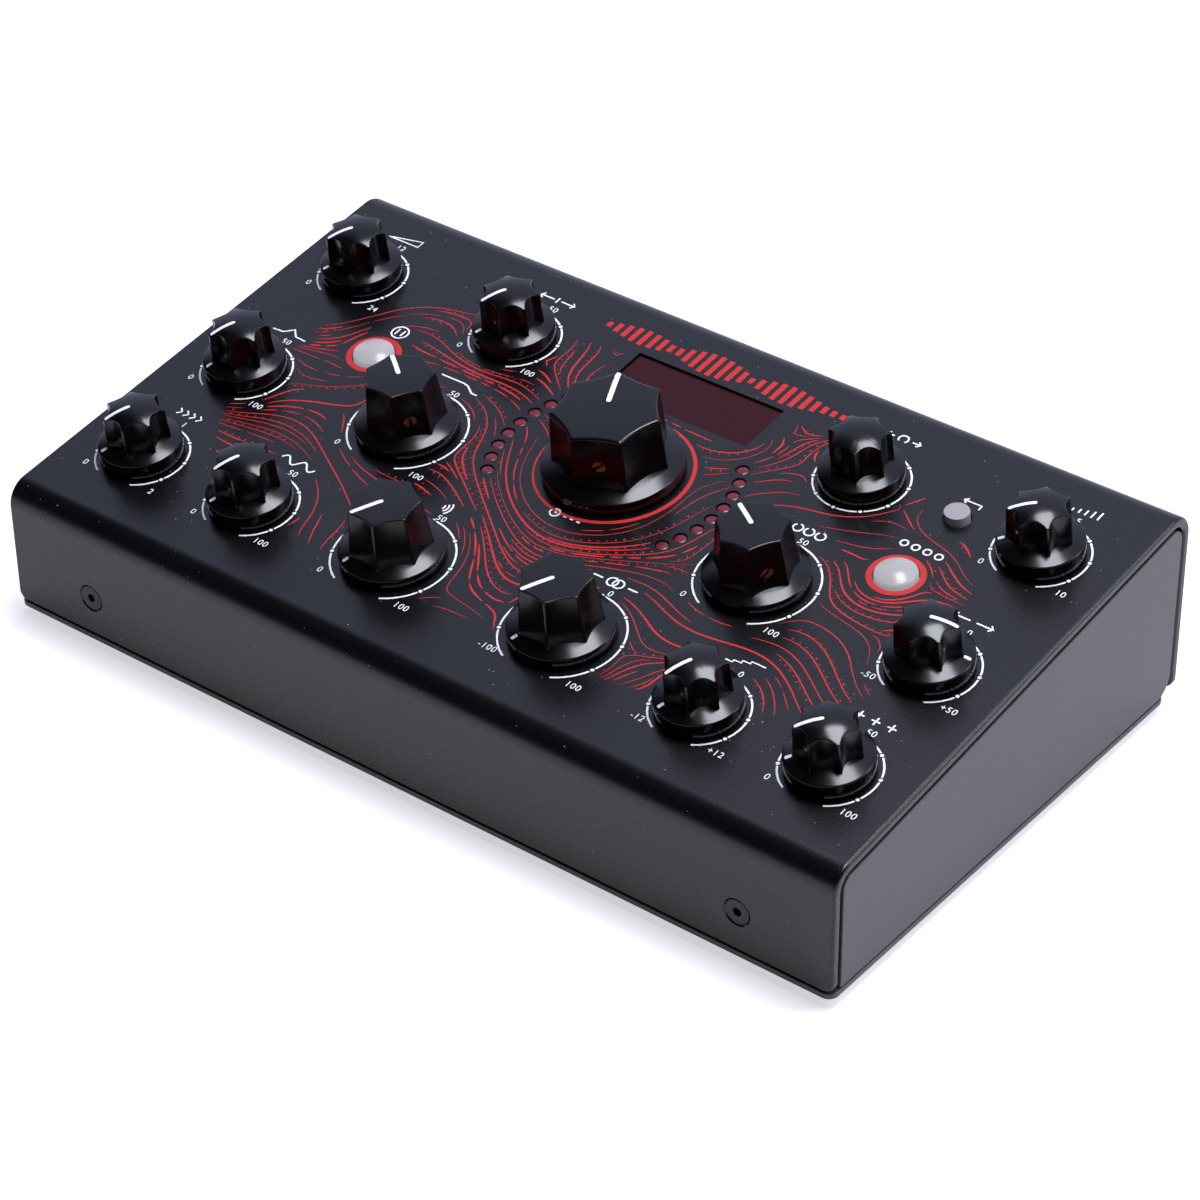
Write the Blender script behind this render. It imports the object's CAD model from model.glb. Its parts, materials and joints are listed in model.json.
import json
import math
import random

import bmesh
import bpy
from mathutils import Matrix, Vector


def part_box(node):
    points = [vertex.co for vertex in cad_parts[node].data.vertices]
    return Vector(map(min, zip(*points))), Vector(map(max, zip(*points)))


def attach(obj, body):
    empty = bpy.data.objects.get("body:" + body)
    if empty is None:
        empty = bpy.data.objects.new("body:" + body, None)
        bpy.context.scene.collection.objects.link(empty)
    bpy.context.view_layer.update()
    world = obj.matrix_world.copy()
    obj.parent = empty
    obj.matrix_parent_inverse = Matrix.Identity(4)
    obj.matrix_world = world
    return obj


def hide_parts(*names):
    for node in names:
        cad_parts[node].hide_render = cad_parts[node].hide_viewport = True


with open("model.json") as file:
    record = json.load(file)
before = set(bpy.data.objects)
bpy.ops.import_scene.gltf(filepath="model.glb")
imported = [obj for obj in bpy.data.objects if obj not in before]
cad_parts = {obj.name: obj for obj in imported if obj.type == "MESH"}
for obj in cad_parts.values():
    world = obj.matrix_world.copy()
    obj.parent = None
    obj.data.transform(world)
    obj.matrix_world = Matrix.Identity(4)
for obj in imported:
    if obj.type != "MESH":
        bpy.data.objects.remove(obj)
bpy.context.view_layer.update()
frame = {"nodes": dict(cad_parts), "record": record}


# The cover is one sheet of 2.5 mm steel, bent twice into front wall, sloped panel
# and rear wall, punched for every control and finished in a fine charcoal powder coat.
# It drops over the tray and is held by countersunk screws in its two walls.
mm = 0.001
cover_low, cover_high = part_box("top_cover")
front_y, rear_y = cover_low[1], cover_high[1]
half_width = cover_high[0]
wall_bottom = cover_low[2]
sheet = 2.5 * mm
front_bend = 6.0 * mm
rear_bend = 6.5 * mm
bend_steps = 14
wall_corner = 2.4 * mm
sheet_round = 0.8 * mm
coat_round = 0.2 * mm

joints = {joint["name"]: joint for joint in frame["record"]["behaviour"]["joints"]}
panel_normal = -Vector(joints["time_turn"]["axis"]).normalized()
panel_slope = math.atan2(-panel_normal.y, panel_normal.z)
panel_across = Vector((1, 0, 0))
panel_up = panel_normal.cross(panel_across)
time_point = Vector(joints["time_turn"]["pos_m"])
front_edge = time_point + panel_up * ((front_y - time_point.y) / panel_up.y)
panel = Matrix((panel_across, panel_up, panel_normal)).transposed().to_4x4()
panel.translation = (0, front_edge.y, front_edge.z)


def dial_place(joint_name):
    """Where a dial's axis meets the panel: across from the middle, and up from the front edge."""
    place = panel.inverted() @ Vector(joints[joint_name]["pos_m"])
    return place.x, place.y


crease = math.radians(32)


def put_in_scene(name, data):
    """A new object in the scene."""
    made = bpy.data.objects.new(name, data)
    bpy.context.scene.collection.objects.link(made)
    return made


def object_from(bm, name):
    """Closes a bmesh into an object in the scene."""
    mesh = bpy.data.meshes.new(name)
    bm.to_mesh(mesh)
    bm.free()
    return put_in_scene(name, mesh)


def shade_creased(mesh):
    """Smooth shading, with crisp creases."""
    mesh.shade_smooth()
    mesh.set_sharp_from_angle(angle=crease)


def piece_from(bm, name, body, material, place=None):
    """Closes a bmesh, moved to its place, into a finished piece that rides on a body."""
    if place:
        bm.transform(place)
    piece = object_from(bm, name)
    shade_creased(piece.data)
    piece.data.materials.append(material)
    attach(piece, body)
    return piece


def soften_edges(piece, width, sharper_than=35):
    """Rounds the sharp edges of a piece a little, and keeps its flats flat."""
    bevel = piece.modifiers.new("edge_round", "BEVEL")
    bevel.width = width
    bevel.segments = 3
    bevel.limit_method = "ANGLE"
    bevel.angle_limit = math.radians(sharper_than)
    flats = piece.modifiers.new("flat_faces", "WEIGHTED_NORMAL")
    flats.keep_sharp = False


def carve(piece, cutter_bm):
    """Cuts one mesh of closed shapes out of a piece for good."""
    cutter = object_from(cutter_bm, "cutter")
    cut = piece.modifiers.new("cut", "BOOLEAN")
    cut.object = cutter
    cut.operation = "DIFFERENCE"
    cut.solver = "EXACT"
    whole = piece.data
    depsgraph = bpy.context.evaluated_depsgraph_get()
    piece.data = bpy.data.meshes.new_from_object(piece.evaluated_get(depsgraph))
    piece.data.name = whole.name
    piece.modifiers.clear()
    shade_creased(piece.data)
    bpy.data.objects.remove(cutter)
    bpy.data.meshes.remove(whole)


def add_round(bm, place, radius, depth, top_radius=None, segments=40):
    """A closed cylinder or cone, with its middle on its place."""
    bmesh.ops.create_cone(
        bm, cap_ends=True, segments=segments, radius1=radius,
        radius2=radius if top_radius is None else top_radius, depth=depth, matrix=place)


def add_box(bm, place, width, length, depth):
    """A closed box, with its middle on its place."""
    return bmesh.ops.create_cube(
        bm, size=1, matrix=place @ Matrix.Diagonal((width, length, depth, 1)))["verts"]


def round_edges(bm, edges, radius, segments):
    """Rounds chosen edges of a bmesh for good."""
    bmesh.ops.bevel(
        bm, geom=edges, offset=radius, offset_type="OFFSET", affect="EDGES", segments=segments,
        profile=0.5, material=-1)


def verts_of(geometry):
    """The vertices among what an operator made."""
    return [item for item in geometry if isinstance(item, bmesh.types.BMVert)]


def on_panel(u, v, h=0.0):
    return panel @ Matrix.Translation((u, v, h))


def on_front(x, z):
    return Matrix.Translation((x, front_y, z)) @ Matrix.Rotation(math.pi / 2, 4, "X")


def on_rear(x, z):
    return Matrix.Translation((x, rear_y, z)) @ Matrix.Rotation(-math.pi / 2, 4, "X")


def middle_of(node):
    """The middle of a CAD node's box."""
    low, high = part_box(node)
    return (Vector(low) + Vector(high)) / 2


# Sheet outline, walked round from the front wall's lower edge to the rear wall's.
cover_bm = bmesh.new()
turn_front = math.pi / 2 - panel_slope
turn_rear = math.pi / 2 + panel_slope
front_top = panel.translation.z
rear_top = front_top + (rear_y - front_y) * math.tan(panel_slope)
front_tangent = front_top - front_bend * math.tan(turn_front / 2)
rear_tangent = rear_top - rear_bend * math.tan(turn_rear / 2)
walk = [cover_bm.verts.new((-half_width, front_y, wall_bottom))]


def walk_to(y, z):
    grown = bmesh.ops.extrude_vert_indiv(cover_bm, verts=[walk[-1]])["verts"][0]
    grown.co = (-half_width, y, z)
    walk.append(grown)


def walk_round(centre_y, centre_z, turn):
    made = bmesh.ops.spin(
        cover_bm, geom=[walk[-1]], cent=(-half_width, centre_y, centre_z), axis=(1, 0, 0),
        angle=-turn, steps=bend_steps)
    walk.append(verts_of(made["geom_last"])[0])


walk_to(front_y, front_tangent)
walk_round(front_y + front_bend, front_tangent, turn_front)
panel_end = Vector((0, rear_y, rear_top)) - panel_up * rear_bend * math.tan(turn_rear / 2)
walk_to(panel_end.y, panel_end.z)
walk_round(rear_y - rear_bend, rear_tangent, turn_rear)
walk_to(rear_y, wall_bottom)
bmesh.ops.remove_doubles(cover_bm, verts=cover_bm.verts, dist=1e-6)
sheet_side = bmesh.ops.extrude_edge_only(cover_bm, edges=cover_bm.edges)
bmesh.ops.translate(
    cover_bm, vec=(2 * half_width, 0, 0), verts=verts_of(sheet_side["geom"]))
bmesh.ops.recalc_face_normals(cover_bm, faces=cover_bm.faces)
bmesh.ops.solidify(cover_bm, geom=cover_bm.faces[:], thickness=sheet)
wall_corners = [
    edge for edge in cover_bm.edges
    if all(abs(vert.co.z - wall_bottom) < 1e-5 for vert in edge.verts)
    and abs(edge.verts[0].co.x - edge.verts[1].co.x) < 1e-5]
round_edges(cover_bm, wall_corners, wall_corner, segments=8)
sheet_ends = [edge for edge in cover_bm.edges if edge.calc_face_angle(0) > math.radians(60)]
round_edges(cover_bm, sheet_ends, sheet_round, segments=5)

# The punched holes: dial bushes, caps, lights, display, screws and rear sockets.
dial_names = ["gain", "filter", "speed", "depth", "spread", "cutoff", "reverb", "time", "data",
              "feedback", "mix", "pitch", "shimmer", "pan", "volume"]
dial_places = {name: dial_place(name + "_turn") for name in dial_names}
time_u, time_v = dial_places["time"]
punch = 4 * sheet
dial_hole = 3.65 * mm
light_hole = 1.65 * mm
light_arc = 28.8 * mm
light_step = math.radians(8.87)
lights_a_side = 8
light_clocks = [(i - (lights_a_side - 1) / 2) * light_step for i in range(lights_a_side)]
light_places = [
    (side * light_arc * math.cos(clock), time_v + light_arc * math.sin(clock))
    for side in (-1, 1) for clock in light_clocks]
cap_column = 73.7 * mm
cap_row = 81 * mm
back_column = 74.4 * mm
cap_places = {"freeze": (-cap_column, cap_row), "tap": (cap_column, cap_row),
              "back": (back_column, dial_places["gain"][1])}
cap_hole = {"freeze": 5.2 * mm, "tap": 5.2 * mm, "back": 3.3 * mm}
window_width = 41 * mm
window_length = 14.8 * mm
window_from_rear = 27.4 * mm
window_v = (rear_y - front_y) / math.cos(panel_slope) - window_from_rear
screw_z = middle_of("cover_screws").z
front_screw_in = 24 * mm
rear_screw_in = 9 * mm
screw_seats = [
    place(side * (half_width - inset), screw_z)
    for place, inset in ((on_front, front_screw_in), (on_rear, rear_screw_in)) for side in (-1, 1)]
screw_hole = 1.65 * mm
sink_radius = 3.45 * mm
sink_tip = 0.01 * mm
jack_z = middle_of("audio_jacks").z
jack_xs = [mount["pos_m"][0] for mount in frame["record"]["mounts"] if mount["kind"] == "bore"]
jack_hole = 5.4 * mm
inlet_hole = 4.75 * mm
socket_room = {"usb_socket": 0.2 * mm, "power_switch_housing": -0.8 * mm}

holes = bmesh.new()
sinks = bmesh.new()
for u, v in dial_places.values():
    add_round(holes, on_panel(u, v), dial_hole, punch)
for u, v in light_places:
    add_round(holes, on_panel(u, v), light_hole, punch, segments=28)
for name, (u, v) in cap_places.items():
    add_round(holes, on_panel(u, v), cap_hole[name], punch, segments=56)
add_box(holes, on_panel(0, window_v), window_width, window_length, punch)
for seat in screw_seats:
    add_round(holes, seat, screw_hole, punch)
    add_round(sinks, seat, sink_tip, 2 * sink_radius, top_radius=2 * sink_radius)
for x in jack_xs:
    add_round(holes, on_rear(x, jack_z), jack_hole, punch)
for node, room in socket_room.items():
    middle = middle_of(node)
    size = 2 * (Vector(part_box(node)[1]) - middle)
    add_box(holes, on_rear(middle.x, middle.z), size.x + 2 * room, size.z + 2 * room, punch)
inlet = middle_of("power_inlet")
add_round(holes, on_rear(inlet.x, inlet.z), inlet_hole, punch)


def finish(name):
    """A new material with its node tree and its shader."""
    material = bpy.data.materials.new(name)
    material.use_nodes = True
    tree = material.node_tree
    return material, tree, tree.nodes["Principled BSDF"]


def feed(socket, value):
    """Gives a socket its value, or the output of another node."""
    if isinstance(value, bpy.types.NodeSocket):
        socket.id_data.links.new(value, socket)
    else:
        socket.default_value = value


def add_node(tree, kind, feeds, **settings):
    """A new node with its settings, and with what is fed into its sockets."""
    node = tree.nodes.new("ShaderNode" + kind)
    for setting, value in settings.items():
        setattr(node, setting, value)
    for socket, value in feeds.items():
        feed(node.inputs[socket], value)
    return node


def blend_colours(tree, mask, first, second):
    """A colour that goes from the first to the second as the mask goes from 0 to 1."""
    return add_node(tree, "Mix", {0: mask, 6: first, 7: second}, data_type="RGBA").outputs[2]


def spread_range(tree, value, low, high, start=0.0, stop=1.0):
    """A value between start and stop, stretched to lie between low and high."""
    return add_node(tree, "MapRange", {0: value, 1: start, 2: stop, 3: low, 4: high}).outputs[0]


def math_of(tree, operation, first, second):
    """The outcome of one sum on two values."""
    return add_node(tree, "Math", {0: first, 1: second}, operation=operation).outputs[0]


# Shared effect: fine grain, slow clouding and stray light specks over any moulded or coated face.
face_marks = bpy.data.node_groups.new("face_marks", "ShaderNodeTree")
for socket, value in (("Grain Scale", 1500.0), ("Cloud Scale", 30.0), ("Speck Scale", 240.0),
                      ("Speck Size", 0.05)):
    made = face_marks.interface.new_socket(socket, in_out="INPUT", socket_type="NodeSocketFloat")
    made.default_value = value
for socket in ("Grain", "Cloud", "Specks"):
    face_marks.interface.new_socket(socket, in_out="OUTPUT", socket_type="NodeSocketFloat")
marks_in = face_marks.nodes.new("NodeGroupInput")
marks_out = face_marks.nodes.new("NodeGroupOutput")
marks_place = face_marks.nodes.new("ShaderNodeTexCoord")
marks_at = marks_place.outputs["Object"]
for output, socket, detail in (("Grain", "Grain Scale", 2.0), ("Cloud", "Cloud Scale", 3.0)):
    noise = add_node(face_marks, "TexNoise", {
        "Vector": marks_at, "Scale": marks_in.outputs[socket], "Detail": detail})
    feed(marks_out.inputs[output], noise.outputs["Fac"])
cells = add_node(face_marks, "TexVoronoi", {
    "Vector": marks_at, "Scale": marks_in.outputs["Speck Scale"]})
cell_draw = add_node(face_marks, "SeparateColor", {"Color": cells.outputs["Color"]})
rare = math_of(face_marks, "POWER", cell_draw.outputs["Red"], 6.0)
speck_reach = math_of(face_marks, "MULTIPLY", rare, marks_in.outputs["Speck Size"])
inside = math_of(face_marks, "LESS_THAN", cells.outputs["Distance"], speck_reach)
feed(marks_out.inputs["Specks"], inside)


def marked(name, deep, pale, roughness, rough_by="Grain", speck=None, bump=None, extra=None, **scales):
    """A finish that clouds from deep to pale, with marks in its roughness, specks and bumps."""
    material, tree, shader = finish(name)
    sizes = {socket.replace("_", " "): value for socket, value in scales.items()}
    marks = add_node(tree, "Group", sizes, node_tree=face_marks)
    colour = blend_colours(tree, marks.outputs["Cloud"], (*deep, 1), (*pale, 1))
    if speck:
        colour = blend_colours(tree, marks.outputs["Specks"], colour, (*speck, 1))
    feed(shader.inputs["Base Color"], colour)
    feed(shader.inputs["Roughness"], spread_range(tree, marks.outputs[rough_by], *roughness))
    if bump:
        strength, distance = bump
        raised = add_node(tree, "Bump", {
            "Strength": strength, "Distance": distance, "Height": marks.outputs["Grain"]})
        feed(shader.inputs["Normal"], raised.outputs["Normal"])
    for socket, value in (extra or {}).items():
        feed(shader.inputs[socket], value)
    return material


def powder_coat(name, deep, pale, speck, roughness):
    """Powder coat: fine orange-peel grain, slow clouding and a few pale specks."""
    return marked(name, deep, pale, (roughness - 0.04, roughness + 0.04), speck=speck,
                  bump=(0.07, 0.06 * mm), Grain_Scale=1700.0, Cloud_Scale=22.0, Speck_Scale=800.0,
                  Speck_Size=0.12)


panel_coat = powder_coat(
    "charcoal_powder_coat", (0.0016, 0.0016, 0.0023), (0.0028, 0.0028, 0.0037), (0.3, 0.3, 0.32), 0.27)
cover = piece_from(cover_bm, "cover_sheet", "case", panel_coat)
carve(cover, holes)
carve(cover, sinks)
soften_edges(cover, coat_round)
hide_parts("top_cover")


# The tray closes the cover from below and at both ends: a base plate, flush all round, and
# two side walls with a thin joint above the plate. Flanges and four screw tabs stand inside.
# It is thinner steel, in a paler powder coat.
weld_reach = 0.001 * mm


def dress(node, material, edge_round=0.0):
    """Gives a CAD node its finish, and rounds its sharp edges where that shows."""
    piece = frame["nodes"][node]
    piece.data.materials.clear()
    piece.data.materials.append(material)
    if edge_round:
        weld = piece.modifiers.new("weld", "WELD")
        weld.merge_threshold = weld_reach
        soften_edges(piece, edge_round)


tray_coat = powder_coat("tray_powder_coat", (0.07, 0.066, 0.069), (0.08, 0.076, 0.079),
                        (0.1, 0.1, 0.1), 0.4)
tray_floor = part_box("base_tray")[0][2]
plate_sheet = 1.4 * mm
plate_joint = 0.4 * mm
plate_corner = 2.4 * mm
plate_short = 4.5 * mm
end_seam = 0.68 * mm
wall_heel = 5.0 * mm
flange_in = 0.8 * mm
flange_height = 4.5 * mm
tab_width = 12 * mm
nut_radius = 2.75 * mm
nut_length = 4.2 * mm
tray_round = 0.22 * mm
tray_bm = bmesh.new()
plate_length = rear_y - front_y - plate_short
plate_verts = add_box(
    tray_bm, Matrix.Translation((0, front_y + plate_length / 2, tray_floor + plate_sheet / 2)),
    2 * half_width, plate_length, plate_sheet)
upright = {edge for vert in plate_verts for edge in vert.link_edges
           if abs(edge.verts[0].co.z - edge.verts[1].co.z) > plate_sheet / 2}
round_edges(tray_bm, list(upright), plate_corner, segments=8)

wall_in = sheet + end_seam
wall_foot = tray_floor + plate_sheet + plate_joint
wall_outline = [(front_y + wall_in, wall_foot)]
for middle_y, middle_z, radius, first, turn in (
        (front_y + front_bend, front_tangent, front_bend - wall_in, math.pi, -turn_front),
        (rear_y - rear_bend, rear_tangent, rear_bend - wall_in, turn_rear, -turn_rear),
        (rear_y - wall_in - wall_heel, wall_foot + wall_heel, wall_heel, 0, -math.pi / 2)):
    for k in range(bend_steps + 1):
        clock = first + turn * k / bend_steps
        wall_outline.append((middle_y + radius * math.cos(clock), middle_z + radius * math.sin(clock)))
for side in (-1, 1):
    rim = [tray_bm.verts.new((side * half_width, y, z)) for y, z in wall_outline]
    bmesh.ops.contextual_create(tray_bm, geom=rim)
    inner_side = bmesh.ops.extrude_face_region(tray_bm, geom=[rim[0].link_faces[0]])["geom"]
    bmesh.ops.translate(tray_bm, vec=(-side * plate_sheet, 0, 0), verts=verts_of(inner_side))
    flange_length = rear_y - front_y - 2 * wall_in - wall_heel
    flange_middle = (side * (half_width - flange_in - plate_sheet / 2),
                     front_y + wall_in + flange_length / 2,
                     tray_floor + flange_height / 2 + plate_sheet / 4)
    add_box(tray_bm, Matrix.Translation(flange_middle), plate_sheet, flange_length, flange_height)
tab_height = screw_z + tab_width / 2 - tray_floor - plate_sheet / 2
tab_drop = Matrix.Translation((0, 0, (tab_width - tab_height) / 2))
for seat in screw_seats:
    add_box(tray_bm, tab_drop @ seat @ Matrix.Translation((0, 0, -sheet - plate_sheet)),
            tab_width, tab_height, plate_sheet)
    nut_depth = -sheet - nut_length / 2 - plate_sheet / 2
    add_round(tray_bm, seat @ Matrix.Translation((0, 0, nut_depth)), nut_radius, nut_length)
bmesh.ops.recalc_face_normals(tray_bm, faces=tray_bm.faces)
tray = piece_from(tray_bm, "tray_sheet", "case", tray_coat)
soften_edges(tray, tray_round)
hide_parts("base_tray")


# Cover screws: blackened countersunk screws with a hex socket, one at each end of both walls.
# Their flat heads keep faint tool marks.
def turned_metal(name, colour, roughness, mark_scale, metallic=1.0):
    """Bare or blackened metal with fine tool marks and slow stains."""
    darker = tuple(0.72 * channel for channel in colour)
    return marked(name, darker, colour, (roughness - 0.1, roughness + 0.1), bump=(0.12, 0.03 * mm),
                  extra={"Metallic": metallic}, Grain_Scale=mark_scale, Cloud_Scale=160.0)


fine_edge = 0.12 * mm
dress("cover_screws", turned_metal("blackened_steel", (0.06, 0.06, 0.065), 0.42, 2600.0), fine_edge)


# Rubber feet: four soft black discs glued under the tray.
# Moulded rubber is matte, with a slightly dusty face.
def moulded(name, deep, pale, roughness):
    """Moulded plastic or rubber: slow clouding and fine grain."""
    return marked(name, deep, pale, (roughness - 0.06, roughness + 0.06), bump=(0.1, 0.05 * mm),
                  Grain_Scale=900.0, Cloud_Scale=60.0)


dress("rubber_feet", moulded("foot_rubber", (0.012, 0.012, 0.012), (0.025, 0.025, 0.024), 0.75))


# White print: a screen-printed scale round every dial, with plain numbers and small signs.
# The ink lies flat on the coat and is a few hundredths of a millimetre thick.
ink_height = 0.03 * mm
ink_lift = 0.004 * mm
scale_line = 0.45 * mm
scale_dot = 0.45 * mm
scale_gap = 0.6 * mm
scale_stop = 153
scale_step = 38.25
scale_radius = {"small": 10.95 * mm, "medium": 14.0 * mm}
number_height = 1.75 * mm
sign_line = 0.42 * mm
medium_dials = ("cutoff", "reverb", "feedback", "mix")


def dial_kind(name):
    return "large" if name == "time" else "medium" if name in medium_dials else "small"


def clock_point(radius, clock):
    """A point at a clockwise angle in degrees, measured from up the slope."""
    turn = math.radians(clock)
    return radius * math.sin(turn), radius * math.cos(turn)


def scale_arc(bm, u, v, radius, start, stop):
    """A flat printed arc between two clock angles."""
    ends = [bm.verts.new((u + x, v + y, 0)) for x, y in
            (clock_point(radius + side * scale_line / 2, start) for side in (-1, 1))]
    steps = max(3, round(abs(stop - start) / 4))
    bmesh.ops.spin(
        bm, geom=[*ends, bm.edges.new(ends)], cent=(u, v, 0), axis=(0, 0, 1),
        angle=-math.radians(stop - start), steps=steps)


def dial_scale(bm, u, v, radius, dots, closed=False):
    """Arcs between dots, with a hair's gap either side of each dot."""
    gap = math.degrees((scale_dot + scale_gap / 2) / radius)
    for clock in dots:
        x, y = clock_point(radius, clock)
        bmesh.ops.create_circle(
            bm, cap_ends=True, segments=14, radius=scale_dot,
            matrix=Matrix.Translation((u + x, v + y, 0)))
    if closed:
        ends = zip(dots, (*dots[1:], dots[0] + 360))
    else:
        ends = zip((-scale_stop - gap, *dots), (*dots, scale_stop + gap))
    for start, stop in ends:
        scale_arc(bm, u, v, radius, start + gap, stop - gap)


def mesh_of(curve):
    """The mesh of a curve or of figures, which are then dropped."""
    holder = bpy.data.objects.new("holder", curve)
    mesh = bpy.data.meshes.new_from_object(holder)
    bpy.data.objects.remove(holder)
    bpy.data.curves.remove(curve)
    return mesh


def ribbon_mesh(strokes):
    """Flat ribbons along strokes: each has points, a width at each point, and closes or not."""
    curve = bpy.data.curves.new("strokes", "CURVE")
    curve.dimensions = "3D"
    curve.extrude = 0.5
    for points, widths, closed in strokes:
        spline = curve.splines.new("POLY")
        spline.points.add(len(points) - 1)
        spline.use_cyclic_u = closed
        for knot, (u, v), width in zip(spline.points, points, widths):
            knot.co = (u, v, 0, 1)
            knot.radius = width
            knot.tilt = math.pi / 2
    return mesh_of(curve)


def take_in(bm, mesh, place=Matrix.Identity(4)):
    """Adds a finished mesh to a bmesh at its place, and drops the mesh."""
    mesh.transform(place)
    bm.from_mesh(mesh)
    bpy.data.meshes.remove(mesh)


def number_mesh(text):
    """A plain number, centred on its place."""
    figures = bpy.data.curves.new("figures", "FONT")
    figures.body = text
    figures.size = 1.38 * number_height
    figures.align_x = "CENTER"
    figures.align_y = "CENTER"
    figures.space_character = 1.12
    return mesh_of(figures)


def print_piece(bm, name, material):
    """Turns flat print into ink on the panel: face up, a little thick, at the panel's slope."""
    bmesh.ops.remove_doubles(bm, verts=bm.verts, dist=1e-7)
    for face in bm.faces:
        if face.normal.z < 0:
            face.normal_flip()
    bmesh.ops.solidify(bm, geom=bm.faces[:], thickness=-ink_height)
    piece_from(bm, name, "case", material, on_panel(0, 0, ink_lift))


def ink(name, colour, worn):
    """Screen ink: even colour, with tiny thin places where the coat's grain shows through."""
    material, tree, shader = finish(name)
    marks = add_node(tree, "Group", {"Grain Scale": 2600.0, "Cloud Scale": 90.0}, node_tree=face_marks)
    thin = spread_range(tree, marks.outputs["Grain"], 0.0, 0.5, 0.62, 0.8)
    feed(shader.inputs["Base Color"], blend_colours(tree, thin, (*colour, 1), (*worn, 1)))
    feed(shader.inputs["Roughness"], spread_range(tree, marks.outputs["Cloud"], 0.42, 0.6))
    feed(shader.inputs["Specular IOR Level"], 0.25)
    return material


def polyline(*points, closed=False):
    """A sign's stroke through points in millimetres, with one width all along."""
    return [(x * mm, y * mm) for x, y in points], [sign_line] * len(points), closed


def ring_sign(x, y, radius, start=0, stop=None):
    """A small ring, or the part of one between two clock angles."""
    whole = stop is None
    clocks = range(0, 360, 15) if whole else [start + (stop - start) * k / 12 for k in range(13)]
    spots = [clock_point(radius, clock) for clock in clocks]
    return polyline(*((x + a, y + b) for a, b in spots), closed=whole)


def arrow(x, reach):
    """A line across with a head at its end."""
    head = 0.9 if reach > 0 else -0.9
    return [polyline((x, 0), (x + reach, 0)),
            polyline((x + reach - head, 0.9), (x + reach, 0), (x + reach - head, -0.9))]


signs = {
    "gain": [polyline((-4.5, -1), (4.5, -1), (4.5, 1.2), (-4.5, -1))],
    "filter": [polyline((-5, -1), (-2, -0.8), (-0.7, 0.4), (0, 1.2), (0.7, 0.4), (2, -0.8), (5, -1))],
    "speed": [polyline((x - 0.5, -1), (x + 0.5, 0), (x - 0.5, 1)) for x in (-3, -1, 1, 3)],
    "depth": [polyline(*((k / 4 - 5, 1.1 * math.sin(math.pi * k / 10)) for k in range(41)))],
    "spread": arrow(-1, -4) + arrow(1, 4) + [polyline((0, -1), (0, 1))],
    "cutoff": [polyline((-6, 0.9), (0.5, 0.9), (2, 0.6), (3.2, -0.2), (4.4, -1.1), (6, -1.1))],
    "reverb": [ring_sign(-1.6, 0, radius, 48, 132) for radius in (0.9, 1.8, 2.7)],
    "time": [ring_sign(-2.2, 0, 1.2), polyline((-2.2, 0.7), (-2.2, 0), (-1.6, 0))]
            + [polyline((x, 0), (x + 0.9, 0)) for x in (0.2, 2.0, 3.8)],
    "data": [ring_sign(0, 0, 1.2, -140, 140)] + arrow(-2.4, -2.2) + arrow(2.4, 2.2),
    "feedback": [ring_sign(x, 0, 1.2, 0, 320) for x in (-2.6, 0.4, 3.4)],
    "mix": [ring_sign(-0.8, 0, 1.3), ring_sign(0.8, 0, 1.3), polyline((-6, 0), (-3.4, 0)),
            polyline((3.4, 0), (6, 0))],
    "pitch": [polyline((-4.5, -1.1), (-2.7, -1.1), (-2.7, -0.4), (-0.9, -0.4), (-0.9, 0.4), (0.9, 0.4),
                       (0.9, 1.1), (4.5, 1.1))],
    "shimmer": [stroke for x in (-4, 0, 4) for stroke in
                (polyline((x - 1.1, 0), (x + 1.1, 0)), polyline((x, -1.2), (x, 1.2)))],
    "pan": arrow(-0.8, -4.2) + arrow(0.8, 4.2),
    "volume": [polyline((1.6 * k - 5.2, -1), (1.6 * k - 5.2, 0.45 * k - 1)) for k in range(1, 7)],
    "freeze": [polyline((x, -1.1), (x, 1.1)) for x in (-0.8, 0.8)] + [ring_sign(0, 0, 2.1)],
    "tap": [ring_sign(x, 0, 0.9) for x in (-4.5, -1.5, 1.5, 4.5)],
    "back": [polyline((2.4, -0.9), (2.4, 0.5), (-2.2, 0.5)),
             polyline((-1.3, 1.3), (-2.2, 0.5), (-1.3, -0.3))],
}
share_numbers = ("0", "100", "50")
scale_numbers = {
    "gain": ("0", "24", "12"), "speed": ("0", "2", "1"), "mix": ("-100", "100", "0"),
    "pitch": ("-12", "+12", "0"), "pan": ("-50", "+50", "0"), "volume": ("0", "10", "5"),
}
number_low = {"small": ((-9.5 * mm, -9 * mm), (10.7 * mm, -9 * mm)),
              "medium": ((-11 * mm, -12 * mm), (12.3 * mm, -12 * mm))}
number_high = {"small": (1.2 * mm, 12.8 * mm), "medium": (1.2 * mm, 15.3 * mm)}
number_room = 2.3 * mm
sign_room = 2.6 * mm
endless_dots = (-180, -147, -114, -76, -38, 0, 38, 76, 114, 147)
pot_dots = [scale_step * k for k in range(-3, 4)]
sign_rise = {"small": 16.2 * mm, "medium": 18.7 * mm, "time": -18.6 * mm, "freeze": 9.6 * mm,
             "tap": 9.6 * mm, "back": 5.6 * mm}

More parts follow.
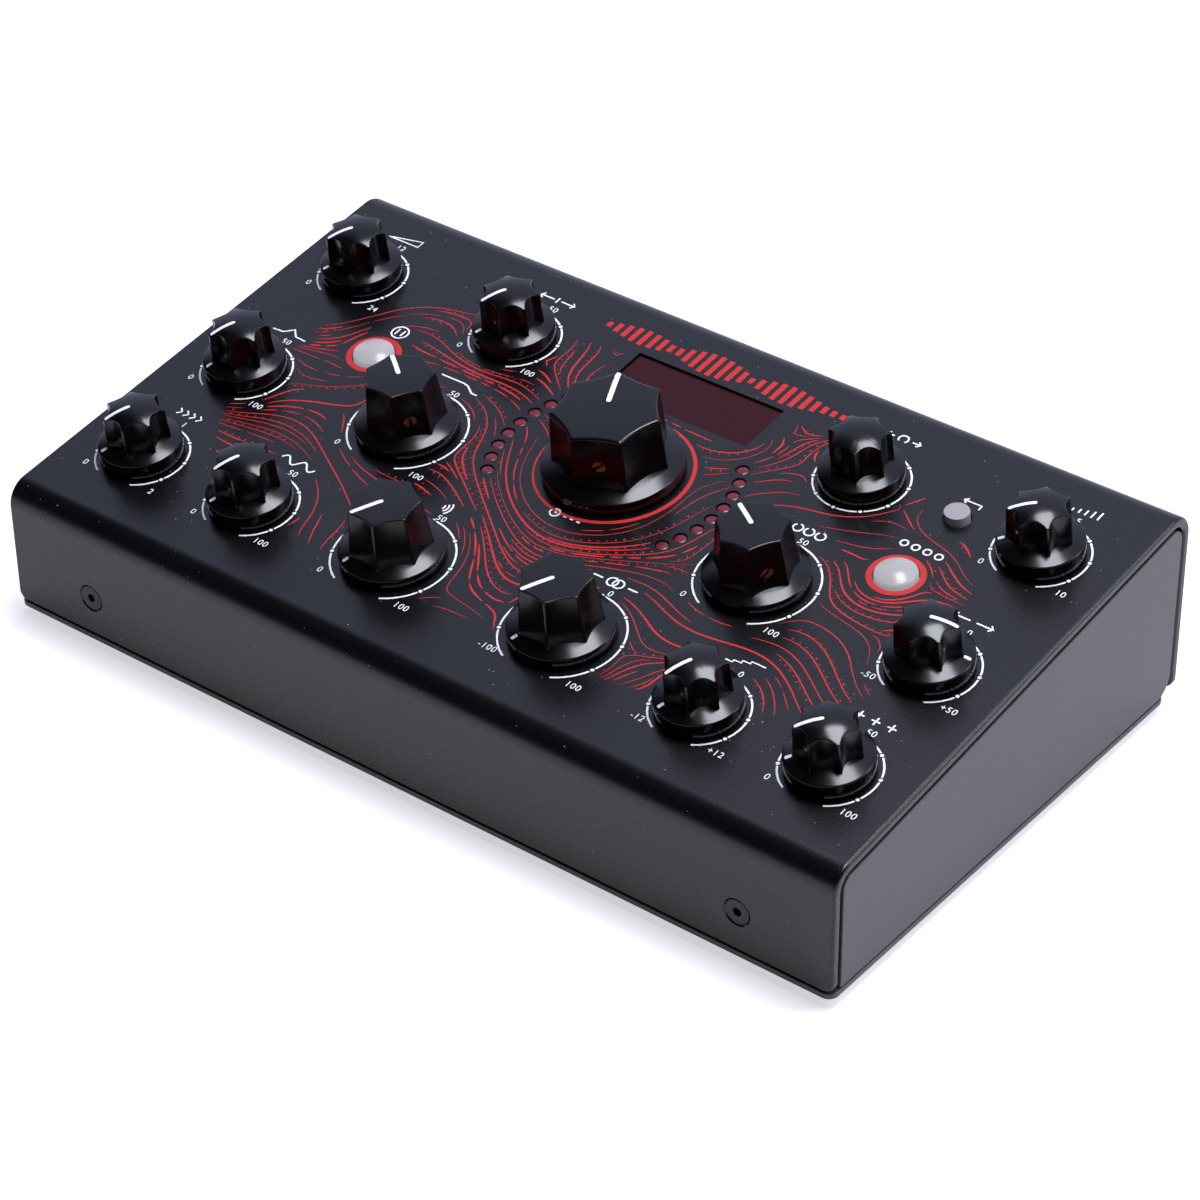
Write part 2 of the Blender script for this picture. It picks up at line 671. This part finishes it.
white_bm = bmesh.new()
print_spots = []
for name, (u, v) in dial_places.items():
    kind = dial_kind(name)
    if name == "data":
        dial_scale(white_bm, u, v, scale_radius[kind], endless_dots, closed=True)
    elif name != "time":
        dial_scale(white_bm, u, v, scale_radius[kind], pot_dots)
        numbers = scale_numbers.get(name, share_numbers)
        for figures, (x, y) in zip(numbers, (*number_low[kind], number_high[kind])):
            take_in(white_bm, number_mesh(figures), Matrix.Translation((u + x, v + y, 0)))
            print_spots.append((u + x, v + y, number_room))
for name, strokes in signs.items():
    u, v = dial_places.get(name) or cap_places[name]
    rise = sign_rise.get(name) or sign_rise[dial_kind(name)]
    take_in(white_bm, ribbon_mesh(strokes), Matrix.Translation((u, v + rise, 0)))
    print_spots.extend((u + x * mm, v + rise, sign_room) for x in (-4, 0, 4))
white_ink = ink("white_ink", (0.93, 0.93, 0.93), (0.7, 0.7, 0.71))
print_piece(white_bm, "white_print", white_ink)


# Red print: rings round the two lit caps and the large dial, a row of bars along the rear edge,
# and a loose drift of flow lines that part round every dial. The same screen ink, in red.
ring_inner = 5.25 * mm
ring_outer = 6.6 * mm
time_ring = 18.2 * mm
bars_middle = 118.6 * mm
bars_first = -33 * mm
bar_pitch = 2.55 * mm
bar_count = 27
bar_width = 1.35 * mm
drift_middle = 66 * mm
drift_half_width = 93 * mm
drift_half_height = 46 * mm
closest_pitch = 1.15 * mm
widest_pitch = 4.6 * mm
drift_step = 1.0 * mm
longest_run = 60
shortest_line = 5
barb_lean = 0.5 * mm
barb_widths = [0.22 * mm, 0.1 * mm]
dots_aside = 0.7 * mm
dot_room = 0.3 * mm
drift_draw = random.Random(7)
dial_room = 1.0 * mm
time_room = 19.6 * mm
cap_room = 7.6 * mm
window_room = 9.4 * mm
light_room = 2.5 * mm
parting_discs = [(u, v, scale_radius[dial_kind(name)] + dial_room)
                 for name, (u, v) in dial_places.items() if name != "time"]
parting_discs.append((time_u, time_v, time_room))
parting_discs.extend((u, v, cap_room) for u, v in cap_places.values())
parting_discs.extend((x * mm, window_v, window_room) for x in (-15, -5, 5, 15))
bare_discs = parting_discs + print_spots + [(u, v, light_room) for u, v in light_places]


def drift_at(u, v):
    """Direction of the drift: across the panel in slow waves, parted round each dial."""
    across = 1.0
    up = 0.42 * math.sin(u / (19 * mm)) + 0.3 * math.sin(v / (12 * mm) + 1.3)
    for disc_u, disc_v, reach in parting_discs:
        du, dv = u - disc_u, v - disc_v
        away = max(du * du + dv * dv, (0.6 * reach) ** 2)
        pull = (reach * 0.95) ** 2 / away ** 2
        across -= pull * (du * du - dv * dv)
        up -= pull * 2 * du * dv
    length = math.hypot(across, up)
    return across / length, up / length


def is_bare(u, v, room=0.0):
    """Whether a place lies in the drift's field, clear of dials, lights and white print."""
    field = abs(u / drift_half_width) ** 3 + abs((v - drift_middle) / drift_half_height) ** 3
    return field < 1 and all(math.hypot(u - a, v - b) > reach + room for a, b, reach in bare_discs)


def pitch_at(u, v):
    """Distance between lines: close in some strands of the drift and wide in others."""
    along = math.sin(u / (15 * mm) + 1.6 * math.sin(v / (19 * mm)))
    aside = math.sin(v / (9.5 * mm) - 0.9 * math.sin(u / (27 * mm)))
    return closest_pitch + (widest_pitch - closest_pitch) * (0.5 + 0.5 * along * aside) ** 1.5


drawn_points = {}


def near_drawn(u, v, room):
    """Whether a place is nearer than the room to a line that is already drawn."""
    column, row = math.floor(u / widest_pitch), math.floor(v / widest_pitch)
    return any(math.hypot(u - a, v - b) < room
               for c in (column - 1, column, column + 1) for r in (row - 1, row, row + 1)
               for a, b in drawn_points.get((c, r), ()))


def drift_run(u, v, way):
    """Points along the drift, or against it, until something is in the way."""
    points = []
    while len(points) < longest_run and is_bare(u, v) and not near_drawn(u, v, 0.55 * pitch_at(u, v)):
        points.append((u, v))
        across, up = drift_at(u, v)
        u += way * drift_step * across
        v += way * drift_step * up
    return points


def tapered(points, width):
    """A stroke that swells from fine ends to its full width."""
    last = len(points) - 1
    swell = [abs(math.sin(math.pi * k / last)) ** 0.6 for k in range(last + 1)]
    return points, [width * (0.3 + 0.7 * share) for share in swell], False


drift_low = drift_middle - drift_half_height
starts = [(-drift_half_width + column * closest_pitch, drift_low + row * closest_pitch)
          for column in range(round(2 * drift_half_width / closest_pitch))
          for row in range(round(2 * drift_half_height / closest_pitch))]
drift_draw.shuffle(starts)
red_strokes = []
red_dots = []
for u, v in starts:
    if not is_bare(u, v) or near_drawn(u, v, pitch_at(u, v)):
        continue
    line = drift_run(u, v, -1)[::-1] + drift_run(u, v, 1)[1:]
    if len(line) < shortest_line:
        continue
    for point in line:
        square = (math.floor(point[0] / widest_pitch), math.floor(point[1] / widest_pitch))
        drawn_points.setdefault(square, []).append(point)
    style = drift_draw.choice(("plain", "plain", "barbed", "broken", "dotted"))
    width = drift_draw.choice((0.2, 0.24, 0.3, 0.36, 0.5)) * mm
    side = drift_draw.choice((-1, 1))
    if style == "broken":
        while len(line) > 6:
            run = drift_draw.randrange(4, 11)
            red_strokes.append(tapered(line[:run], width))
            line = line[run:]
    else:
        red_strokes.append(tapered(line, width))
    if style == "barbed":
        for u, v in line[2:-2:2]:
            across, up = drift_at(u, v)
            reach = side * drift_draw.uniform(0.5, 1.1) * mm
            tip = (u - up * reach + across * barb_lean, v + across * reach + up * barb_lean)
            if is_bare(*tip):
                red_strokes.append(([(u, v), tip], barb_widths, False))
    if style == "dotted":
        for u, v in line[2:-2:2]:
            across, up = drift_at(u, v)
            spot = (u - up * side * dots_aside, v + across * side * dots_aside)
            if is_bare(*spot, dot_room):
                red_dots.append(spot)
for k in range(bar_count):
    share = k / (bar_count - 1)
    high = (0.9 + 2.9 * abs(math.sin(9.5 * share + 0.4)) * abs(math.sin(math.pi * share)) ** 0.5) * mm
    u = bars_first + k * bar_pitch
    red_strokes.append(([(u, bars_middle - high), (u, bars_middle + high)], [bar_width] * 2, False))
ring_points = [clock_point(time_ring, 5 * k) for k in range(72)]
ring_widths = [(0.7 + 0.35 * math.cos(math.radians(5 * k - 110))) * mm for k in range(72)]
red_strokes.append(([(time_u + x, time_v + y) for x, y in ring_points], ring_widths, True))

red_bm = bmesh.new()
take_in(red_bm, ribbon_mesh(red_strokes))
for u, v in red_dots:
    bmesh.ops.create_circle(
        red_bm, cap_ends=True, segments=8, radius=drift_draw.uniform(0.14, 0.26) * mm,
        matrix=Matrix.Translation((u, v, 0)))
for name in ("freeze", "tap"):
    u, v = cap_places[name]
    edge = [red_bm.verts.new((u + radius, v, 0)) for radius in (ring_inner, ring_outer)]
    bmesh.ops.spin(red_bm, geom=[*edge, red_bm.edges.new(edge)], cent=(u, v, 0), axis=(0, 0, 1),
                   angle=2 * math.pi, steps=56, use_merge=True)
red_ink = ink("red_ink", (0.56, 0.024, 0.023), (0.26, 0.022, 0.022))
print_piece(red_bm, "red_print", red_ink)


# Knobs: black phenolic mouldings, seven hollow flutes over a flared skirt, in three sizes.
# Each is pushed on its shaft. A white line is filled into the top of all but the endless dial.
facets = 7
half_facet = math.pi / facets
facet_shares = (0, 0.018, 0.034, 0.055, 0.1, 0.18, 0.28, 0.39, 0.5,
                0.61, 0.72, 0.82, 0.9, 0.945, 0.966, 0.982)
knob_gap = 0.7 * mm
skirt_rise = math.radians(18)
rim_round = 0.35 * mm
bore_radius = 3.03 * mm
bore_top = 11.7 * mm
recess_radius = 6.45 * mm
recess_top = 3.8 * mm
inlay_lift = 0.02 * mm
inlay_depth = 0.2 * mm
knob_sizes = {
    "small": {"skirt": 9.75 * mm, "rim": 4.3 * mm, "base": 7.6 * mm, "ridge": 7.35 * mm,
              "top": 12.5 * mm, "crown": 1.75 * mm, "flute": 4.2 * mm, "blunt": 0.18 * mm,
              "edge": (0.16 * mm, 0.16 * mm), "line": (0.5 * mm, 0.9 * mm)},
    "medium": {"skirt": 12 * mm, "rim": 3.1 * mm, "base": 9.75 * mm, "ridge": 8.4 * mm,
               "top": 15.7 * mm, "crown": 0.3 * mm, "flute": 18 * mm, "blunt": 0.12 * mm,
               "edge": (0.3 * mm, 0.26 * mm), "line": (0.1 * mm, 1.05 * mm)},
    "large": {"skirt": 16.3 * mm, "rim": 3.3 * mm, "base": 13.8 * mm, "ridge": 13 * mm,
              "top": 17.6 * mm, "crown": 0.5 * mm, "flute": 26 * mm, "blunt": 0.12 * mm,
              "edge": (0.8 * mm, 0.45 * mm), "line": (1.6 * mm, 1.2 * mm)},
}


def facet_radius(ridge, size, share):
    """Radius of the fluted outline, by share of the way from one ridge to the next."""
    flute = size["flute"]
    swing = (share - 0.5) * 2 * half_facet
    floor = ridge * math.cos(half_facet) - (ridge * math.sin(half_facet)) ** 2 / (2 * flute)
    reach = floor + flute
    half_chord = min(flute, abs(reach * math.sin(swing)))
    hollow = reach * math.cos(swing) - math.sqrt(flute ** 2 - half_chord ** 2)
    return min(hollow, ridge - size["blunt"])


def skirt_height(size, radius):
    """Height of the sloped skirt at a radius, from where its rounded rim ends."""
    rim_end = size["skirt"] - rim_round * (1 - math.sin(skirt_rise))
    level = size["rim"] - rim_round * (1 - math.cos(skirt_rise))
    return level + (rim_end - radius) * math.tan(skirt_rise)


def crown_height(size, radius):
    """Height of the domed top at a radius."""
    ball = (size["ridge"] ** 2 + size["crown"] ** 2) / (2 * size["crown"])
    return size["top"] + size["crown"] - ball + math.sqrt(ball ** 2 - radius ** 2)


def grow_ring(bm, ring, radius_of, height_of):
    """Extrudes the last ring, and lays the new one out by its share of a facet and its radius."""
    grown = verts_of(bmesh.ops.extrude_edge_only(bm, edges=ring)["geom"])
    for vert in grown:
        turn = math.atan2(vert.co.x, vert.co.y)
        radius = radius_of(turn / (2 * half_facet) % 1)
        vert.co = (radius * math.sin(turn), radius * math.cos(turn), height_of(radius))
    fresh = set(grown)
    return [edge for vert in grown for edge in vert.link_edges
            if edge.other_vert(vert) in fresh and edge.verts[0] is vert]


def knob_mesh(size):
    """A knob standing on the panel at the origin, its pointer ridge up the slope."""
    bm = bmesh.new()
    steps = len(facet_shares)
    ring = bmesh.ops.create_circle(bm, cap_ends=True, segments=facets * steps, radius=bore_radius)
    for k, vert in enumerate(ring["verts"]):
        turn = (k // steps + facet_shares[k % steps]) * 2 * half_facet
        vert.co = (bore_radius * math.sin(turn), bore_radius * math.cos(turn), bore_top)
    edges = bm.edges[:]
    skirt, rim, ridge = size["skirt"], size["rim"], size["ridge"]
    reach_in, reach_down = size["edge"]
    profile = [(bore_radius, recess_top), (recess_radius, recess_top), (recess_radius, knob_gap),
               (skirt - rim_round / 2, knob_gap), (skirt, knob_gap + rim_round / 2)]
    for step in range(5):
        turn = (math.pi / 2 - skirt_rise) * step / 4
        profile.append((skirt - rim_round * (1 - math.cos(turn)),
                        rim - rim_round * (1 - math.sin(turn))))
    for radius, height in profile:
        edges = grow_ring(bm, edges, lambda share: radius, lambda r: height)
    edges = grow_ring(bm, edges, lambda share: facet_radius(size["base"], size, share),
                      lambda r: skirt_height(size, r))
    for clock in (0, 18, 36, 54, 72, 90):
        inward = reach_in * (1 - math.cos(math.radians(clock)))
        drop = reach_down * (1 - math.sin(math.radians(clock)))
        edges = grow_ring(bm, edges, lambda share: facet_radius(ridge, size, share) - inward,
                          lambda r: crown_height(size, r) - drop)
    for share_in in (0.94, 0.75, 0.5, 0.25, 0.06):
        edges = grow_ring(
            bm, edges, lambda share: share_in * (facet_radius(ridge, size, share) - reach_in),
            lambda r: crown_height(size, r))
    bmesh.ops.contextual_create(bm, geom=edges)
    bmesh.ops.recalc_face_normals(bm, faces=bm.faces)
    return bm


def inlay_mesh(near, far, width, height_of):
    """A filled line with blunt ends along the pointer ridge."""
    bm = bmesh.new()
    length = far - near
    for vert in bmesh.ops.create_grid(bm, x_segments=4, y_segments=18, size=0.5)["verts"]:
        along = vert.co.y * length
        end = max(0.0, abs(along) - (length - width) / 2) / (width / 2)
        across = vert.co.x * width * (1 - min(end, 0.97) ** 4) ** 0.25
        place = (near + far) / 2 + along
        vert.co = (across, place, height_of(math.hypot(across, place)) + inlay_lift)
    bmesh.ops.solidify(bm, geom=bm.faces[:], thickness=inlay_depth)
    bmesh.ops.recalc_face_normals(bm, faces=bm.faces)
    return bm


knob_black = marked(
    "knob_phenolic", (0.0012, 0.0012, 0.0016), (0.0022, 0.0022, 0.0028), (0.16, 0.21), rough_by="Cloud",
    speck=(0.06, 0.06, 0.065), extra={"Specular IOR Level": 0.42}, Grain_Scale=900.0, Cloud_Scale=70.0,
    Speck_Scale=330.0, Speck_Size=0.06)
line_white = moulded("pointer_filling", (0.9, 0.9, 0.9), (0.95, 0.95, 0.95), 0.4)

set_screw_radius = 1.63 * mm
set_screw_drop = 7.8 * mm
mouth_depth = 1.6 * mm
mouth_inner = set_screw_radius - 0.4 * mm
mouth_outer = set_screw_radius + 1.2 * mm
line_end_gap = 0.6 * mm
tick_width = 0.85 * mm
tick_near = 1.75 * mm
tick_far = 0.25 * mm
screwed_dials = ("time", *medium_dials)
ticked_dials = [name for name in dial_names if name not in ("data", "time", "cutoff", "feedback")]


def dial_seat(name):
    """A dial's place on the panel, turned to where the dial rests."""
    rest_clock = 0 if name == "data" else -150 - joints[name + "_turn"]["range_deg"][0]
    return on_panel(*dial_places[name]) @ Matrix.Rotation(-math.radians(rest_clock), 4, "Z")


def screw_wall(size):
    """Radius of the facet that the set screw is driven through."""
    return facet_radius((size["base"] + size["ridge"]) / 2, size, 0.5)


def screw_way(name, radius):
    """A place on the set screw's axis, facing out through the facet opposite the pointer."""
    level = knob_sizes[dial_kind(name)]["top"] - set_screw_drop
    return (dial_seat(name) @ Matrix.Translation((0, -radius, level))
            @ Matrix.Rotation(math.pi / 2, 4, "X"))


for name in dial_names:
    size = knob_sizes[dial_kind(name)]
    seat = dial_seat(name)
    body = name + "_dial"
    knob = piece_from(knob_mesh(size), name + "_moulding", body, knob_black, seat)
    if name in screwed_dials:
        wall = screw_wall(size)
        way_in = screw_way(name, wall)
        grub_hole = bmesh.new()
        add_round(grub_hole, way_in, set_screw_radius, 2 * (wall - bore_radius), segments=36)
        add_round(grub_hole, way_in, mouth_inner, mouth_depth, top_radius=mouth_outer, segments=36)
        carve(knob, grub_hole)
    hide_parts(name + "_knob")
    if name == "data":
        continue
    near, width = size["line"]
    line = inlay_mesh(near, size["ridge"] - line_end_gap, width, lambda r: crown_height(size, r))
    piece_from(line, name + "_pointer", body, line_white, seat)
    if name in ticked_dials:
        reach = size["skirt"] - rim_round
        tick = inlay_mesh(
            reach - tick_near, reach - tick_far, tick_width, lambda r: skirt_height(size, r))
        piece_from(tick, name + "_skirt_tick", body, line_white, seat)


# Set screws: slotted brass grub screws that clamp the larger knobs to their shafts.
# They sit a little way inside their holes, in the facet opposite the pointer.
screw_sunk = 0.45 * mm
slot_width = 0.75 * mm
slot_depth = 2.2 * mm
slot_turns = {"time": -55, "cutoff": 8, "reverb": 30, "feedback": -45, "mix": 70}
screw_room = 0.08 * mm
dull_brass = turned_metal("dull_brass", (0.6, 0.24, 0.05), 0.4, 2200.0, metallic=0.5)
brass = turned_metal("brass", (1.0, 0.6, 0.18), 0.5, 2200.0, metallic=0.4)
for name in screwed_dials:
    length = screw_wall(knob_sizes[dial_kind(name)]) - screw_sunk - bore_radius
    bm = bmesh.new()
    add_round(bm, screw_way(name, bore_radius + length / 2), set_screw_radius - screw_room, length)
    screw = piece_from(bm, name + "_grub_screw", name + "_dial", dull_brass)
    slot = bmesh.new()
    head = screw_way(name, bore_radius + length)
    add_box(slot, head @ Matrix.Rotation(math.radians(slot_turns[name]), 4, "Z"),
            slot_width, 4 * set_screw_radius, 2 * slot_depth)
    carve(screw, slot)
    soften_edges(screw, fine_edge)
    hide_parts(name + "_set_screw")


# Potentiometers and encoder: pressed housings under the panel, hexagon nuts on it,
# and plated steel shafts up into the knobs.
bright_steel = turned_metal("plated_steel", (0.56, 0.56, 0.58), 0.32, 1800.0)
housing_black = moulded("housing_plastic", (0.014, 0.014, 0.015), (0.028, 0.028, 0.03), 0.48)
for name in dial_names:
    dress(name + "_shaft", bright_steel)
dress("pot_nuts", bright_steel, fine_edge)
dress("pot_housings", bright_steel)
dress("encoder_housing", housing_black)
dress("encoder_plunger", moulded("plunger_plastic", (0.4, 0.4, 0.41), (0.5, 0.5, 0.5), 0.5))


# Push caps: two domed, back-lit caps of milky plastic and one small flat grey one.
# Each is turned in one piece with its flange and stem, and stands in its hole on its switch.
def turn_profile(points, steps=48):
    """A closed solid of revolution from radius and height points."""
    bm = bmesh.new()
    profile = [bm.verts.new((radius, 0, height)) for radius, height in points]
    edges = [bm.edges.new(pair) for pair in zip(profile, profile[1:])]
    bmesh.ops.spin(bm, geom=profile + edges, cent=(0, 0, 0), axis=(0, 0, 1),
                   angle=2 * math.pi, steps=steps, use_merge=True)
    bmesh.ops.remove_doubles(bm, verts=bm.verts, dist=1e-6)
    bmesh.ops.recalc_face_normals(bm, faces=bm.faces)
    return bm


board_level = -(sheet + 6.8 * mm)
flange_top = -(sheet + 0.1 * mm)
flange_bottom = flange_top - 1.0 * mm
stem_radius = 1.75 * mm
stem_end = board_level + 2.0 * mm
flange_reach = 0.9 * mm


def foot_profile(cap_radius):
    """From the middle of a cap's stem round its flange to the cap's side."""
    return [(0, stem_end), (stem_radius, stem_end), (stem_radius, flange_bottom),
            (cap_radius + flange_reach, flange_bottom), (cap_radius + flange_reach, flange_top),
            (cap_radius, flange_top)]


def dome_profile(radius, side, rise, edge, steps=10):
    """From a cap's side over a rounded shoulder to the top of its dome."""
    ball = (radius ** 2 + rise ** 2) / (2 * rise)
    shoulder = side - 0.08 * edge + 0.1 * rise * edge / radius
    points = [(radius, side - edge), (radius - 0.3 * edge, shoulder)]
    for k in range(steps + 1):
        reach = (radius - edge) * (1 - k / steps)
        points.append((reach, side + rise - ball + math.sqrt(ball ** 2 - reach ** 2)))
    return points


back_light = {
    "Emission Color": (0.96, 0.95, 1.0, 1), "Emission Strength": 0.3, "Subsurface Weight": 0.25,
    "Subsurface Radius": (1.2 * mm, 1.1 * mm, 1.1 * mm), "Subsurface Scale": 1.0}
milky = marked("milky_cap", (0.17, 0.165, 0.175), (0.2, 0.195, 0.205), (0.2, 0.28), rough_by="Cloud",
               extra=back_light, Grain_Scale=700.0, Cloud_Scale=120.0)
grey_cap = moulded("grey_cap", (0.3, 0.29, 0.3), (0.35, 0.34, 0.35), 0.5)
cap_edge = 0.3 * mm
cap_radius = 4.85 * mm
cap_dome = dome_profile(cap_radius, side=0.9 * mm, rise=1.4 * mm, edge=cap_edge)
back_radius = 2.95 * mm
back_dome = dome_profile(back_radius, side=2.15 * mm, rise=0.06 * mm, edge=cap_edge)
for name, body in (("freeze", "freeze_key"), ("tap", "tap_key")):
    bm = turn_profile(foot_profile(cap_radius) + cap_dome, steps=64)
    cap = piece_from(bm, name + "_cap", body, milky, on_panel(*cap_places[name]))
    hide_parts(name + "_button")
bm = turn_profile(foot_profile(back_radius) + back_dome)
back_cap = piece_from(bm, "back_cap", "back_key", grey_cap, on_panel(*cap_places["back"]))
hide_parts("back_button")
dress("tact_switches", housing_black)


# Lights: sixteen 3 mm red lenses in two arcs, pushed up from the board into close holes.
# Tinted plastic, a little cloudy, with low domes that stay below the panel's face.
lens_radius = 1.5 * mm
lens_shoulder = 0.35 * mm
lens_top = -0.3 * mm
lens_rise = 0.15 * mm
foot_radius = lens_radius + 0.4 * mm
foot_top = board_level + 1.0 * mm
lens = turn_profile(
    [(0, board_level), (foot_radius, board_level), (foot_radius, foot_top), (lens_radius, foot_top)]
    + dome_profile(lens_radius, lens_top, lens_rise, lens_shoulder, steps=4), steps=28)
lens_bm = bmesh.new()
for u, v in light_places:
    lens_mesh = bpy.data.meshes.new("lens")
    lens.to_mesh(lens_mesh)
    take_in(lens_bm, lens_mesh, on_panel(u, v))
lens.free()
lens_red = marked("lens_red", (0.12, 0.012, 0.018), (0.17, 0.018, 0.026), (0.12, 0.3),
                  Grain_Scale=900.0, Cloud_Scale=700.0)
lenses = piece_from(lens_bm, "light_lenses", "case", lens_red)
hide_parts("status_leds")


# Display: a dark red acrylic pane over a black display module. Its flange is glued under the
# panel, and its raised middle fills the cut-out to just below the panel's face. It is polished.
pane_lap = 3 * mm
pane_thickness = 1.5 * mm
pane_room = 0.15 * mm
pane_sunk = 0.6 * mm
pane_bm = bmesh.new()
add_box(pane_bm, Matrix.Translation((0, window_v, -sheet - pane_thickness / 2)),
        window_width + 2 * pane_lap, window_length + 2 * pane_lap, pane_thickness)
pane_top = [face for face in pane_bm.faces if face.normal.z > 0.9]
bmesh.ops.inset_region(pane_bm, faces=pane_top, thickness=pane_lap + pane_room, use_even_offset=True)
raised = bmesh.ops.extrude_face_region(pane_bm, geom=pane_top)["geom"]
bmesh.ops.translate(pane_bm, vec=(0, 0, sheet - pane_sunk), verts=verts_of(raised))
bmesh.ops.delete(pane_bm, geom=pane_top, context="FACES_ONLY")
bmesh.ops.recalc_face_normals(pane_bm, faces=pane_bm.faces)
window_red = marked(
    "window_acrylic", (0.03, 0.004, 0.0065), (0.037, 0.005, 0.008), (0.06, 0.12), rough_by="Cloud",
    speck=(0.16, 0.09, 0.1), extra={"Specular IOR Level": 0.14}, Grain_Scale=400.0, Cloud_Scale=30.0,
    Speck_Scale=300.0, Speck_Size=0.05)
pane = piece_from(pane_bm, "display_pane", "case", window_red, panel)
soften_edges(pane, fine_edge)
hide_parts("display_window")
dress("display_module", housing_black)


# Boards: the control board hangs from the dials' housings, the jack board stands on brass
# posts, and a grey ribbon cable joins them. Green solder mask, matte cable.
board_green = marked(
    "solder_mask", (0.006, 0.06, 0.025), (0.012, 0.1, 0.045), (0.28, 0.42), speck=(0.5, 0.42, 0.22),
    Grain_Scale=800.0, Cloud_Scale=140.0, Speck_Scale=160.0, Speck_Size=0.4)
for node in ("control_board", "jack_board"):
    dress(node, board_green)
dress("board_standoffs", brass, edge_round=0.1 * mm)
dress("ribbon_cable", moulded("cable_grey", (0.28, 0.28, 0.29), (0.36, 0.36, 0.37), 0.55))


# Rear sockets: phone jacks with plated nuts, a USB port, a barrel inlet and a rocker switch.
# The sockets are black plastic or plated steel, fixed to the jack board or clipped in the wall.
switch_black = moulded("switch_plastic", (0.011, 0.011, 0.012), (0.02, 0.02, 0.022), 0.35)
rocker_black = moulded("rocker_plastic", (0.009, 0.009, 0.01), (0.016, 0.016, 0.018), 0.25)
dress("audio_jacks", housing_black, edge_round=0.25 * mm)
dress("jack_nuts", bright_steel, edge_round=0.2 * mm)
dress("usb_socket", bright_steel, fine_edge)
dress("power_inlet", housing_black, edge_round=0.2 * mm)
dress("power_switch_housing", switch_black, edge_round=0.3 * mm)
dress("power_rocker", rocker_black, edge_round=0.3 * mm)


# Studio: a white floor, a pale, cool backdrop and darkness over the camera's side, with a large
# soft box overhead and a narrow one to the right. Past the floor the camera sees plain white.
# The camera stands where the photograph was taken from.
floor_lifts = {"Is Camera Ray": 0.62, "Is Glossy Ray": 0.2, "Is Transmission Ray": 0.62}
backdrop_tint = (0.66, 0.71, 1.0, 1)
backdrop_level = 0.87
lamp_tint = (0.9, 0.92, 1.0)
lamp_target = (0, 0, 0.03)
dark_level = 0.03
floor_bm = bmesh.new()
bmesh.ops.create_grid(floor_bm, x_segments=1, y_segments=1, size=6.0)
floor = object_from(floor_bm, "floor")
floor_white, floor_tree, floor_shader = finish("floor_white")
feed(floor_shader.inputs["Base Color"], (0.8, 0.785, 0.8, 1))
feed(floor_shader.inputs["Roughness"], 0.9)
feed(floor_shader.inputs["Emission Color"], (0.98, 0.94, 1.0, 1))
ray = floor_tree.nodes.new("ShaderNodeLightPath")
lift = 0.0
for kind, level in floor_lifts.items():
    lift = math_of(floor_tree, "MAXIMUM", spread_range(floor_tree, ray.outputs[kind], 0.0, level), lift)
feed(floor_shader.inputs["Emission Strength"], lift)
floor.data.materials.append(floor_white)

world = bpy.data.worlds.new("studio")
bpy.context.scene.world = world
world.use_nodes = True
sky = world.node_tree
sky_place = sky.nodes.new("ShaderNodeTexCoord")
sky_way = add_node(sky, "SeparateXYZ", {"Vector": sky_place.outputs["Generated"]})
behind = spread_range(sky, sky_way.outputs["Y"], dark_level, backdrop_level, 0.08, 0.36)
horizon = spread_range(sky, sky_way.outputs["Z"], backdrop_level, dark_level, 0.04, 0.16)
seen = sky.nodes.new("ShaderNodeLightPath").outputs["Is Camera Ray"]
strength = math_of(sky, "MAXIMUM", math_of(sky, "MAXIMUM", behind, horizon), seen)
backdrop = sky.nodes["Background"]
feed(backdrop.inputs["Strength"], strength)
feed(backdrop.inputs["Color"], blend_colours(sky, seen, backdrop_tint, (1.0, 1.0, 1.0, 1)))


def soft_box(name, place, width, height, power):
    """A rectangular lamp that faces the part."""
    lamp = bpy.data.lights.new(name, "AREA")
    lamp.shape = "RECTANGLE"
    lamp.size, lamp.size_y = width, height
    lamp.energy = power
    lamp.color = lamp_tint
    holder = put_in_scene(name, lamp)
    holder.location = place
    holder.rotation_euler = (Vector(lamp_target) - Vector(place)).to_track_quat("-Z", "Y").to_euler()


soft_box("overhead", (0.11, 0.13, 1.03), width=0.62, height=0.38, power=11.5)
soft_box("right_strip", (0.73, 0.52, 0.62), width=0.22, height=0.7, power=2.6)

camera = bpy.data.cameras.new("camera")
camera.lens = 119.953
camera.sensor_width = 36
camera.clip_start = 0.01
camera.clip_end = 50
viewpoint = put_in_scene("camera", camera)
viewpoint.location = (459.68 * mm, -574.6 * mm, 538.55 * mm)
viewpoint.rotation_euler = (math.radians(54.534), math.radians(0.583), math.radians(38.101))
bpy.context.scene.camera = viewpoint
bpy.context.scene.view_settings.view_transform = "Standard"
